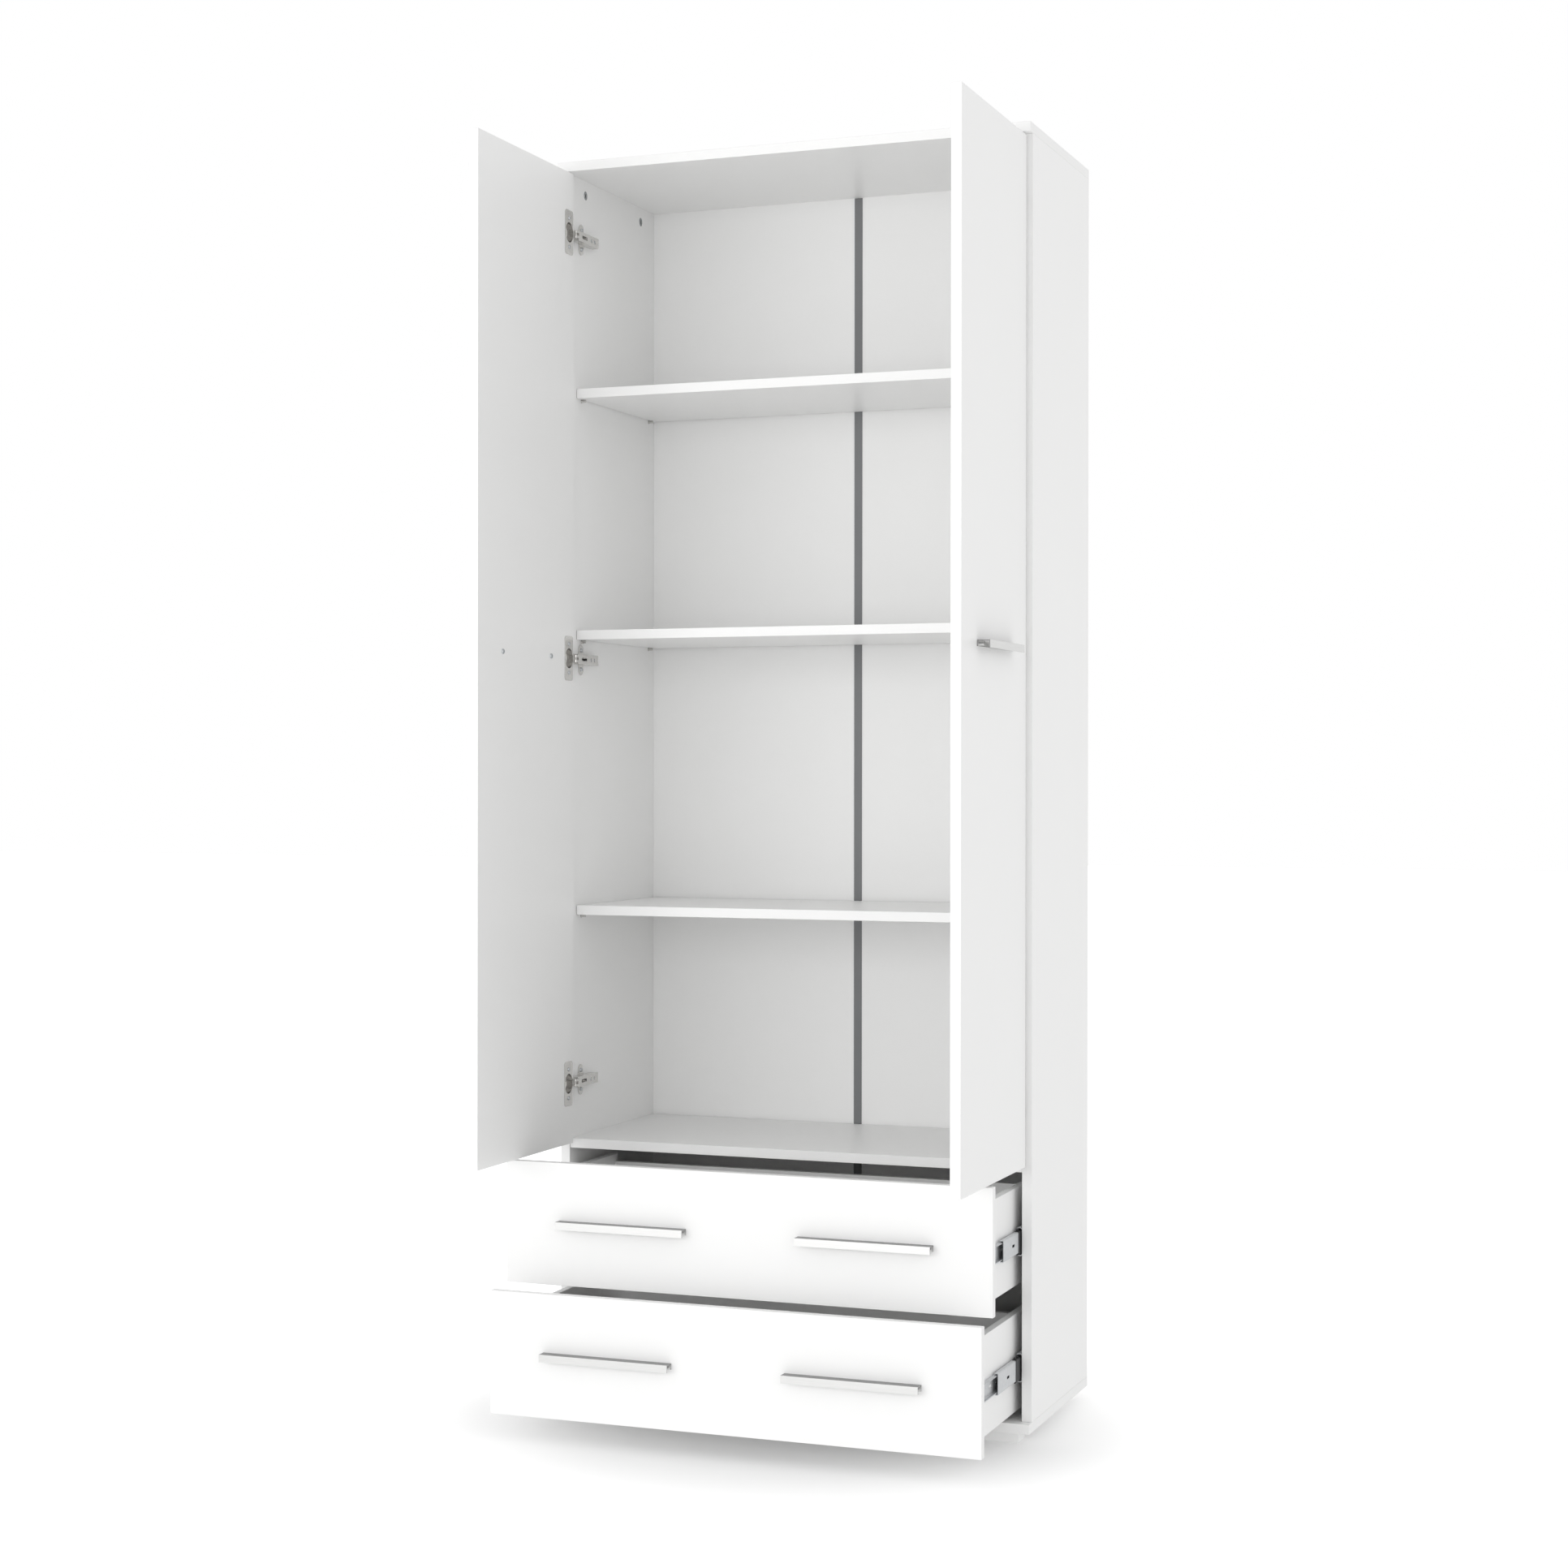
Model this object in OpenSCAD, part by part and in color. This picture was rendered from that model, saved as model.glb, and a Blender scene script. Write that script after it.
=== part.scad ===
// Tall two-door wardrobe with three adjustable shelves above two drawers.
// Millimetres, +Z up, +X to the right of a person who faces the front, and the front faces -Y.
// The origin is on the floor, midway between the sides, in the plane of their front edges.

/* [Carcass] */
// Overall width across the side panels
overall_w = 800; // [640:10:1000]
// Overall height from the floor to the top of the top panel
overall_h = 2075; // [1800:5:2400]
// Depth of the side panels, without the back
side_d = 400; // [390:1:560]
// Thickness of the carcass boards and shelves
board_t = 16; // [15:1:19]
// Thickness of the hardboard back and of the drawer bottoms
thin_t = 3; // [2.5:0.5:4]
// Height of the two plinth strips under the bottom panel
plinth_h = 16; // [10:1:60]
// Depth of each plinth strip
plinth_d = 40; // [16:1:80]
// Distance from the side's outer face to the end of a plinth strip
plinth_inset = 19; // [0:1:60]

/* [Shelves] */
// Height of each adjustable shelf, as a share of the inner height of the hanging part
shelf_shares = [0.241, 0.5275, 0.779]; // [0.1:0.01:0.9]
// Setback of the shelves behind the front edges of the sides
shelf_setback = 27; // [5:1:60]
// Gap between a shelf's end and the side
shelf_end_gap = 0.8; // [0.3:0.1:1.5]
// Width of the joining strip between the two halves of the back
strip_w = 14; // [10:1:24]
// Sideways place of the joining strip from the middle
strip_x = -3; // [-60:1:60]

/* [Fronts] */
// Thickness of the doors and of the drawer fronts
front_t = 16; // [15:1:19]
// Gap between the fronts and the carcass
front_gap = 2.5; // [2:0.1:3]
// Distance from the side's outer face to the edge of a closed front
side_reveal = 3; // [2:0.5:4]
// Gap between the two closed doors, and between the closed fronts one above another
seam = 3; // [2:0.5:5]
// Gap between the bottom panel and the lower drawer front
foot_gap = 4; // [2:0.5:8]
// Height of a drawer front
drawer_front_h = 196; // [170:1:230]

/* [Hinges] */
// Pivot's distance from the door's hinge edge
pivot_a = 8; // [7:0.5:8]
// Pivot's distance from the door's inner face
pivot_b = 14; // [14:0.5:15]
// Distance of the outer hinges from the door's ends
hinge_end = 101; // [80:1:160]
// Diameter of the cup bore
cup_d = 35; // [35:1:35]
// Depth of the cup bore
cup_depth = 12.5; // [12:0.1:12.8]
// Distance from the door's hinge edge to the cup's centre
cup_s = 21.5; // [21.5:0.5:22.5]

/* [Drawers] */
// Thickness of the drawer box's sides and back
box_t = 12; // [10:1:14]
// Distance from the top edge of a front down to the top of its box
box_drop = 33; // [20:1:80]
// Distance from the rear of a closed drawer box to the wardrobe's back
box_gap = 22.5; // [5:0.5:60]
// Distance from the rear end of a slide to the wardrobe's back
slide_gap = 46; // [5:1:100]
// Space that one slide takes between the side and the drawer box
slide_t = 12.7; // [12.7:0.1:13.2]
// Height of the slide's outer member
slide_h = 45; // [45:1:46]

/* [Handles] */
// Length of a handle
handle_l = 214; // [150:1:300]
// Distance of the handle's front lip from the front
handle_out = 20; // [16:1:30]
// Height of the handle's front lip
handle_h = 12; // [11:1:20]
// Distance from a handle's end to its screw
handle_end = 7; // [7:0.5:40]

/* [Rest pose] */
// Opening angle of the doors
door_open = 90; // [0:1:105]
// Distance that the upper drawer could still be pulled out
drawer_1_to_go = 131; // [0:1:350]
// Distance that the lower drawer could still be pulled out
drawer_2_to_go = 65; // [0:1:350]

/* [Hidden] */
$fn = 48;

// Colours
melamine = [0.96, 0.96, 0.95];
hardboard = [0.93, 0.93, 0.92];
strip_grey = [0.35, 0.36, 0.37];
nickel = [0.78, 0.78, 0.77];
zinc = [0.66, 0.68, 0.70];
satin = [0.84, 0.84, 0.83];
beech = [0.80, 0.66, 0.46];
cage_black = [0.10, 0.10, 0.11];

// Clearances
bore_play = 0.05;  // radial, between a bore and the piece that sits in it
slip = 0.1;        // between a groove and the panel in it
bore_end = 0.5;    // between the end of a bore and the piece in it
eps = 1;           // how far a cutter runs past a face

// Carcass levels and faces
side_z0 = plinth_h + board_t;
side_z1 = overall_h - board_t;
inner_x = overall_w / 2 - board_t;
lip_y = -front_gap - front_t;
back_y = side_d;
inner_back_y = side_d - 3;  // rear edge of the floor and shelves

// Fronts
box_z0 = [side_z0 + foot_gap + drawer_front_h + seam, side_z0 + foot_gap];
door_z0 = box_z0[0] + drawer_front_h + seam;
door_z1 = side_z1 - seam;
door_w = (overall_w - 2 * side_reveal - seam) / 2;
drawer_w = overall_w - 2 * side_reveal;
mid_z0 = door_z0 - seam / 2 - board_t / 2;
mid_front_y = 2;

// Shelves and their pins
shelf_base = mid_z0 + board_t;
shelf_room = side_z1 - shelf_base;
shelf_z = [for (s = shelf_shares) shelf_base + s * shelf_room - board_t];
pin_r = 2.5;
pin_in = 9;
pin_out = 8;
pin_collar = 0.5;
pin_y = [50, side_d - 27];

// Cam joints: cams sit in the sides at both ends, and under the mid floor
cam_r = 7.5;
cam_t = 12.2;
cam_end = 25;
cam_y = [68, side_d - 68];
dowel_y = [110, side_d - 110];
bolt_r = 3;
bolt_thread_r = 2.5;
bolt_in = 10.5;
dowel_r = 4;
dowel_half = [10.5, 19];

// Back strip and nails
strip_web = 0.5;
strip_flange = 1;
nail_r = 1.8;
nail_head = 0.6;
nail_rows = 13;
nail_cols = 6;
nail_ends = 40;

// Plinth rails, measured from the front and rear edges of the bottom panel
plinth_front_in = 10.5;
plinth_rear_in = 5;

// Hinges; the middle one sits under the middle shelf
pivot_x = -overall_w / 2 + side_reveal + pivot_a;
pivot_y = -front_gap - pivot_b;
hinge_under_shelf = 33.26;
hinge_z = [door_z0 + hinge_end, shelf_z[1] - hinge_under_shelf, door_z1 - hinge_end];
cup_screw_z = 24;
cup_screw_r = 1.75;
flange_w = 30;
flange_h = 74;
flange_t = 1.2;
plate_y = 45;
plate_t = 2;
plate_half = [13, 26];
plate_reach = [20, 44];
plate_screw_z = 16;
arm_y = [3, 93];
arm_w = 17;
arm_top = 14;
knuckle = [5.5, 10.6, 6];
adjust_y = [16, 31];
adjust_r = 3;

// Slides, measured from the side's inner face towards the middle of the wardrobe
slide_y0 = 4;
slide_l = side_d - slide_gap - slide_y0;
drawer_out = [slide_l - drawer_1_to_go, slide_l - drawer_2_to_go];
rail_t = 1.2;
outer_flange = slide_t - 3.2;
middle_x = 3;
middle_flange = slide_t - 5.2;
middle_h = slide_h - 11;
inner_reach = slide_t - 5;
inner_h = slide_h - 17;
slide_head_t = 0.8;
slide_head_r = 3.4;
slide_z = [for (z = box_z0) z + 80];
slide_screw_ends = [slide_y0 + 33, slide_y0 + slide_l - 61];
slide_screw_y = [slide_screw_ends[0], (slide_screw_ends[0] + slide_screw_ends[1]) / 2, slide_screw_ends[1]];

// Drawer boxes
box_x = inner_x - slide_t;
box_y1 = side_d - box_gap;
box_side_z = 9;
box_h = drawer_front_h - box_drop - box_side_z;
box_back_drop = 12;
bottom_lift = 10;
groove_depth = 5.2;
box_cam_r = 6;
box_cam_in = 2;
back_screw_in = 25;

// Handles
sheet_t = 2;
leg_h = 10;
boss_r = 4;
boss_l = 10;
screw_drop = 5;
screw_r = 2;
handle_screws = handle_l - 2 * handle_end;

// ---------- helpers ----------

// Both sides: the children are drawn on the left and mirrored to the right.
module both_sides() {
    children();
    mirror([1, 0, 0]) children();
}

// A bar along X from x0 to x1
module rod_x(x0, x1, r) {
    translate([x0, 0, 0]) rotate([0, 90, 0]) cylinder(h = x1 - x0, r = r);
}

// A bar along Y from y0 to y1
module rod_y(y0, y1, r) {
    translate([0, y0, 0]) rotate([-90, 0, 0]) cylinder(h = y1 - y0, r = r);
}

// A box given by its low and high corners
module block(lo, hi) {
    translate(lo) cube(hi - lo);
}

// Places the children, drawn for the closed left door around its pivot, at the rest angle
module on_left_door() {
    translate([pivot_x, pivot_y, 0]) rotate([0, 0, -door_open]) children();
}

// Places the children, drawn for the closed drawer i, at the rest distance
module on_drawer(i) {
    translate([0, -drawer_out[i], 0]) children();
}

// ---------- carcass ----------

// Bores that the left side has for shelf pins, cams, cam bolts and dowels
module side_bores() {
    for (z = shelf_z, y = pin_y)
        translate([0, y, z - pin_r]) rod_x(-inner_x - pin_in - bore_end, -inner_x + eps, pin_r + bore_play);
    for (y = cam_y) {
        for (z = [side_z0 + cam_end, side_z1 - cam_end])
            translate([0, y, z]) rod_x(-inner_x - cam_t - 0.3, -inner_x + eps, cam_r + bore_play);
        for (z = [side_z0 - eps, side_z1 - cam_end])
            translate([-inner_x - board_t / 2, y, z]) cylinder(h = cam_end + eps, r = bolt_r + bore_play);
        translate([0, y, mid_z0 + board_t / 2])
            rod_x(-inner_x - bolt_in - bore_end, -inner_x + eps, bolt_thread_r + bore_play);
    }
    for (y = dowel_y) {
        for (z = [side_z0 - eps, side_z1 - dowel_half[1] - bore_end])
            translate([-inner_x - board_t / 2, y, z])
                cylinder(h = dowel_half[1] + bore_end + eps, r = dowel_r + bore_play);
        translate([0, y, mid_z0 + board_t / 2])
            rod_x(-inner_x - dowel_half[0] - bore_end, -inner_x + eps, dowel_r + bore_play);
    }
}

module side_panel() {
    color(melamine) difference() {
        block([-overall_w / 2, 0, side_z0], [-inner_x, side_d, side_z1]);
        side_bores();
    }
}

module side_left() side_panel();

module side_right() mirror([1, 0, 0]) side_panel();

// The top or bottom panel, drawn with its lower face at z0; face is the face that meets the sides
module end_panel(z0, face, into) {
    color(melamine) difference() {
        block([-overall_w / 2, lip_y, z0], [overall_w / 2, side_d, z0 + board_t]);
        both_sides() {
            for (y = cam_y) translate([-inner_x - board_t / 2, y, face])
                translate([0, 0, into > 0 ? -eps : -bolt_in - bore_end])
                    cylinder(h = bolt_in + bore_end + eps, r = bolt_thread_r + bore_play);
            for (y = dowel_y) translate([-inner_x - board_t / 2, y, face])
                translate([0, 0, into > 0 ? -eps : -dowel_half[0] - bore_end])
                    cylinder(h = dowel_half[0] + bore_end + eps, r = dowel_r + bore_play);
        }
    }
}

module top_panel() end_panel(side_z1, side_z1, 1);

module bottom_panel() end_panel(plinth_h, side_z0, -1);

module mid_floor() {
    mid_z = mid_z0 + board_t / 2;
    color(melamine) difference() {
        block([-inner_x, mid_front_y, mid_z0], [inner_x, inner_back_y, mid_z0 + board_t]);
        both_sides() {
            for (y = cam_y) {
                translate([-inner_x + cam_end, y, mid_z0 - eps])
                    cylinder(h = cam_t + 0.3 + eps, r = cam_r + bore_play);
                translate([0, y, mid_z]) rod_x(-inner_x - eps, -inner_x + cam_end, bolt_r + bore_play);
            }
            for (y = dowel_y)
                translate([0, y, mid_z])
                    rod_x(-inner_x - eps, -inner_x + dowel_half[1] + bore_end, dowel_r + bore_play);
        }
    }
}

module shelf(i) {
    x = inner_x - shelf_end_gap;
    color(melamine) block([-x, shelf_setback, shelf_z[i]], [x, inner_back_y, shelf_z[i] + board_t]);
}

// A half of the back from x0 to x1; it stands one millimetre inside the carcass's outline
module back_half(x0, x1) {
    color(hardboard) block([x0, back_y, plinth_h + 1], [x1, back_y + thin_t, overall_h - 1]);
}

module back_left() back_half(-overall_w / 2 + 1, strip_x - strip_web - slip);

module back_right() back_half(strip_x + strip_web + slip, overall_w / 2 - 1);

// H-profile: a web between the halves, a flange in front of them and one behind
module back_joint_strip() {
    color(strip_grey) translate([strip_x, back_y, side_z0 + 0.5]) linear_extrude(side_z1 - side_z0 - 1) {
        translate([-strip_web, -strip_flange]) square([2 * strip_web, thin_t + 2 * strip_flange]);
        translate([-strip_w / 2, -strip_flange]) square([strip_w, strip_flange]);
        translate([-strip_w / 2, thin_t]) square([strip_w, strip_flange]);
    }
}

module plinth(y0) {
    x = overall_w / 2 - plinth_inset;
    color(melamine) block([-x, y0, 0], [x, y0 + plinth_d, plinth_h]);
}

module plinth_front() plinth(lip_y + plinth_front_in);

module plinth_rear() plinth(side_d - plinth_d - plinth_rear_in);

// ---------- carcass fastenings ----------

// Pins with a thin collar against the side; each shelf rests on four
module shelf_pins() {
    color(nickel) both_sides() for (z = shelf_z, y = pin_y) translate([0, y, z - pin_r]) {
        rod_x(-inner_x - pin_in, -inner_x + pin_out, pin_r);
        rod_x(-inner_x, -inner_x + pin_collar, pin_r + 1);
    }
}

// A round cam lock with a cross slot in its face, drawn on the XY plane with its face at z = 0
module cam(t) {
    difference() {
        translate([0, 0, -t]) cylinder(h = t, r = cam_r);
        for (a = [45, 135]) rotate([0, 0, a]) translate([-5, -0.8, -2]) cube([10, 1.6, 2 + eps]);
        translate([0, 0, -t - eps]) cylinder(h = t - 3 + eps, r = bolt_r + 0.5);
    }
}

module cam_locks() {
    color(nickel) both_sides() for (y = cam_y) {
        for (z = [side_z0 + cam_end, side_z1 - cam_end])
            translate([-inner_x, y, z]) rotate([0, 90, 0]) cam(cam_t);
        translate([-inner_x + cam_end, y, mid_z0]) rotate([180, 0, 0]) cam(cam_t);
    }
}

// A cam bolt along +Z from its board face at z = 0: thread below, shaft up to the cam's wall above
module cam_bolt() {
    translate([0, 0, -bolt_in]) cylinder(h = bolt_in, r = bolt_thread_r);
    cylinder(h = cam_end - cam_r - bore_play, r = bolt_r);
}

module cam_bolts() {
    x = -inner_x - board_t / 2;
    color(zinc) both_sides() for (y = cam_y) {
        translate([x, y, side_z0]) cam_bolt();
        translate([x, y, side_z1]) mirror([0, 0, 1]) cam_bolt();
        translate([-inner_x, y, mid_z0 + board_t / 2]) rotate([0, 90, 0]) cam_bolt();
    }
}

module dowels() {
    x = -inner_x - board_t / 2;
    color(beech) both_sides() for (y = dowel_y) {
        translate([x, y, side_z0 - dowel_half[0]]) cylinder(h = dowel_half[0] + dowel_half[1], r = dowel_r);
        translate([x, y, side_z1 - dowel_half[1]]) cylinder(h = dowel_half[0] + dowel_half[1], r = dowel_r);
        translate([0, y, mid_z0 + board_t / 2])
            rod_x(-inner_x - dowel_half[0], -inner_x + dowel_half[1], dowel_r);
    }
}

// Flat-headed nails along the edges of the back; only their heads stand out of the hardboard
module back_nails() {
    edge = board_t / 2;
    up = (side_z1 - side_z0 - 2 * nail_ends) / (nail_rows - 1);
    along = (overall_w / 2 - nail_ends / 2) / nail_cols;
    color(zinc) both_sides() translate([-overall_w / 2, back_y + thin_t, 0]) {
        for (i = [0 : nail_rows - 1])
            translate([edge, 0, side_z0 + nail_ends + up * i]) rod_y(0, nail_head, nail_r);
        for (i = [1 : nail_cols - 1], z = [plinth_h + edge, overall_h - edge])
            translate([along * i, 0, z]) rod_y(0, nail_head, nail_r);
    }
}

// ---------- hinges, carcass side ----------

// A winged mounting plate on the left side, with bores for its two screws
module hinge_plate() {
    translate([-inner_x, plate_y, 0]) difference() {
        union() {
            block([0, -plate_half[0], -plate_half[1]], [plate_t, plate_half[0], plate_half[1]]);
            block([0, plate_half[0], -arm_w / 2], [plate_t, plate_reach[1], arm_w / 2]);
            block([0, -plate_reach[0], -arm_w / 2], [plate_t, -plate_half[0], arm_w / 2]);
        }
        for (z = [-plate_screw_z, plate_screw_z])
            translate([0, 0, z]) rod_x(-eps, plate_t + eps, screw_r + bore_play);
    }
}

module hinge_plates() {
    color(nickel) both_sides() for (z = hinge_z) translate([0, 0, z]) hinge_plate();
}

// The hinge arm: a channel on the plate, and a knuckle that reaches into the cup
module hinge_arm() {
    wall = 1.4;
    knuckle_x = pivot_x + inner_x + norm([pivot_a, pivot_b]) + 0.4;
    translate([-inner_x, 0, 0]) {
        difference() {
            block([plate_t, arm_y[0], -arm_w / 2], [arm_top, arm_y[1], arm_w / 2]);
            block([plate_t - eps, arm_y[0] + wall, -arm_w / 2 + wall],
                  [arm_top - wall, arm_y[1] + eps, arm_w / 2 - wall]);
            for (y = adjust_y) translate([0, plate_y + y, 0]) rod_x(0, arm_top + eps, adjust_r + bore_play);
        }
        block([knuckle_x, -front_gap - knuckle[1], -knuckle[2]],
              [knuckle_x + knuckle[0], arm_y[0], knuckle[2]]);
    }
}

module hinge_arms_left() {
    color(nickel) for (z = hinge_z) translate([0, 0, z]) hinge_arm();
}

module hinge_arms_right() {
    color(nickel) mirror([1, 0, 0]) for (z = hinge_z) translate([0, 0, z]) hinge_arm();
}

// Two screws through each plate's wings, and the two adjusting screws in each arm
module hinge_screws() {
    color(zinc) both_sides() for (z = hinge_z) translate([-inner_x, plate_y, z]) {
        for (s = [-plate_screw_z, plate_screw_z]) translate([0, 0, s]) difference() {
            union() {
                rod_x(0, plate_t, screw_r);
                rod_x(plate_t, plate_t + 2, 3.6);
            }
            for (a = [0, 90])
                rotate([a, 0, 0]) block([plate_t + 1, -2.4, -0.5], [plate_t + 2 + eps, 2.4, 0.5]);
        }
        for (y = adjust_y) translate([0, y, 0]) difference() {
            rod_x(plate_t, arm_top - 0.4, adjust_r);
            for (a = [45, 135]) rotate([a, 0, 0]) block([arm_top - 1.6, -2, -0.4], [arm_top, 2, 0.4]);
        }
    }
}

// ---------- drawer slides ----------

// A channel along Y with its web at x0 and its flanges reaching to x0 + reach
module channel(x0, reach, h, y0, l) {
    translate([x0, y0, 0]) difference() {
        translate([min(0, reach), 0, -h / 2]) cube([abs(reach), l, h]);
        translate([reach > 0 ? rail_t : reach - eps, -eps, -h / 2 + rail_t])
            cube([abs(reach) - rail_t + eps, l + 2 * eps, h - 2 * rail_t]);
    }
}

module slide_outer(i) {
    color(zinc) both_sides() translate([-inner_x, 0, slide_z[i]]) difference() {
        channel(0, outer_flange, slide_h, slide_y0, slide_l);
        for (y = slide_screw_y) translate([0, y, 0]) rod_x(-eps, rail_t + eps, screw_r + bore_play);
    }
}

module slide_screws() {
    color(zinc) both_sides() for (z = slide_z, y = slide_screw_y) translate([-inner_x, y, z]) {
        rod_x(0, rail_t, screw_r);
        rod_x(rail_t, rail_t + slide_head_t, slide_head_r);
    }
}

module slide_middle(i) {
    color(zinc) translate([0, -drawer_out[i] / 2, slide_z[i]]) both_sides()
        translate([-inner_x, 0, 0]) channel(middle_x, middle_flange, middle_h, slide_y0, slide_l);
}

// A retainer folded round the outside of the middle member; it holds a row of balls on each flange.
// It rolls between the outer and the middle member, so at rest it is out by half of the middle's travel.
module ball_cage(i) {
    ball_r = 1.9;
    balls = 9;
    pitch = 14;
    wall = 0.6;
    x0 = rail_t + slide_head_t + 0.2;
    y0 = slide_y0 + 40;
    l = balls * pitch;
    color(cage_black) both_sides() translate([-inner_x, y0 - drawer_out[i] / 4, slide_z[i]]) {
        translate([x0, 0, -middle_h / 2 - wall]) cube([wall, l, middle_h + 2 * wall]);
        for (m = [0, 1]) mirror([0, 0, m]) translate([x0, 0, middle_h / 2]) {
            cube([middle_flange - 0.5, l, wall]);
            for (k = [0 : balls - 1]) translate([4.3, (k + 0.5) * pitch, ball_r]) sphere(r = ball_r);
        }
    }
}

module slide_inner(i) {
    color(zinc) on_drawer(i) both_sides() translate([-box_x, 0, slide_z[i]]) difference() {
        channel(0, -inner_reach, inner_h, slide_y0, slide_l);
        for (y = slide_screw_y) translate([0, y, 0]) rod_x(-rail_t - eps, eps, screw_r + bore_play);
    }
}

// ---------- doors ----------

// The closed left door around its pivot: the inner face is at y = pivot_b, the hinge edge at x = -pivot_a
module door_panel() {
    color(melamine) difference() {
        block([-pivot_a, pivot_b - front_t, door_z0], [door_w - pivot_a, pivot_b, door_z1]);
        for (z = hinge_z) translate([cup_s - pivot_a, 0, z]) {
            rod_y(pivot_b - cup_depth, pivot_b + eps, cup_d / 2);
            for (s = [-cup_screw_z, cup_screw_z])
                translate([0, 0, s]) rod_y(pivot_b - 11, pivot_b + eps, cup_screw_r + bore_play);
        }
        door_handle_place() handle_bores();
    }
}

// A cup with its flange; its mouth is open towards the wardrobe
module door_cups() {
    wall = 0.9;
    cup_r = cup_d / 2 - bore_play;
    color(nickel) for (z = hinge_z) translate([cup_s - pivot_a, pivot_b, z]) difference() {
        union() {
            rod_y(-cup_depth + 0.2, 0, cup_r);
            block([-flange_w / 2, 0, -flange_h / 2], [flange_w / 2, flange_t, flange_h / 2]);
        }
        rod_y(-cup_depth + 0.2 + wall, flange_t + eps, cup_r - wall);
        for (s = [-cup_screw_z, cup_screw_z])
            translate([0, 0, s]) rod_y(-eps, flange_t + eps, cup_screw_r + bore_play);
    }
}

module door_cup_screws() {
    color(zinc) for (z = hinge_z, s = [-cup_screw_z, cup_screw_z])
        translate([cup_s - pivot_a, pivot_b, z + s]) difference() {
            union() {
                rod_y(-10.5, flange_t, cup_screw_r);
                rod_y(flange_t, flange_t + 1.6, 3.4);
            }
            for (a = [0, 90])
                rotate([0, a, 0]) block([-2.2, flange_t + 0.8, -0.45], [2.2, flange_t + 3, 0.45]);
        }
}

module door_handle_place() {
    translate([door_w / 2 - pivot_a, pivot_b - front_t, (door_z0 + door_z1 + handle_h) / 2]) children();
}

module door_left() on_left_door() door_panel();

module door_left_handle() on_left_door() door_handle_place() handle();

module door_left_cups() on_left_door() door_cups();

module door_left_cup_screws() on_left_door() door_cup_screws();

module door_left_handle_screws() on_left_door() door_handle_place() handle_screws_pair();

module door_right() mirror([1, 0, 0]) door_left();

module door_right_handle() mirror([1, 0, 0]) door_left_handle();

module door_right_cups() mirror([1, 0, 0]) door_left_cups();

module door_right_cup_screws() mirror([1, 0, 0]) door_left_cup_screws();

module door_right_handle_screws() mirror([1, 0, 0]) door_left_handle_screws();

// ---------- handles ----------
// A handle lies along X. Its origin is on the front's outer face, at the middle of its top edge.

// Folded profile with a fixing leg, a flat top and a front lip, and two threaded bosses behind
module handle() {
    color(satin) difference() {
        union() {
            translate([-handle_l / 2, 0, 0]) rotate([90, 0, 90]) linear_extrude(handle_l) polygon([
                [0, 0], [-handle_out + 1, 0], [-handle_out, -1], [-handle_out, -handle_h],
                [-handle_out + sheet_t, -handle_h], [-handle_out + sheet_t, -sheet_t],
                [-sheet_t, -sheet_t], [-sheet_t, -leg_h], [0, -leg_h]
            ]);
            for (x = [-handle_screws / 2, handle_screws / 2])
                translate([x, 0, -screw_drop]) rod_y(-boss_l, 0, boss_r);
        }
        for (x = [-handle_screws / 2, handle_screws / 2])
            translate([x, 0, -screw_drop]) rod_y(-boss_l + 1, eps, screw_r + bore_play);
    }
}

// Bores through a front for the handle's screws
module handle_bores() {
    for (x = [-handle_screws / 2, handle_screws / 2])
        translate([x, 0, -screw_drop]) rod_y(-eps, front_t + eps, screw_r + 0.25);
}

// Two pan-head screws from the inside of a front into the handle's bosses
module handle_screws_pair() {
    half = handle_screws / 2;
    color(zinc) for (x = [-half, half]) translate([x, 0, -screw_drop]) difference() {
        union() {
            rod_y(-boss_l + 1.5, front_t, screw_r);
            rod_y(front_t, front_t + 2.4, 4.2);
        }
        for (a = [0, 90]) rotate([0, a, 0]) block([-2.6, front_t + 1.2, -0.5], [2.6, front_t + 4, 0.5]);
    }
}

// ---------- drawers ----------

module drawer_handle_place(i, side) {
    x = side * (overall_w / 4 - side_reveal / 2);
    translate([x, lip_y, box_z0[i] + (drawer_front_h + handle_h) / 2]) children();
}

module drawer_front(i) {
    z = box_z0[i];
    groove_z = z + box_side_z + bottom_lift;
    color(melamine) on_drawer(i) difference() {
        block([-drawer_w / 2, lip_y, z], [drawer_w / 2, -front_gap, z + drawer_front_h]);
        block([-box_x + box_t - groove_depth, -front_gap - groove_depth, groove_z - slip],
              [box_x - box_t + groove_depth, -front_gap + eps, groove_z + thin_t + slip]);
        for (side = [-1, 1]) drawer_handle_place(i, side) handle_bores();
        both_sides() for (s = fixing_z(i))
            translate([-box_x + box_t / 2, 0, s])
                rod_y(-front_gap - bolt_in - bore_end, -front_gap + eps, bolt_thread_r + bore_play);
    }
}

// Heights of the fastenings at both ends of a drawer's sides
function fixing_z(i) = [box_z0[i] + box_side_z + 45, box_z0[i] + box_side_z + box_h - 30];

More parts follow.
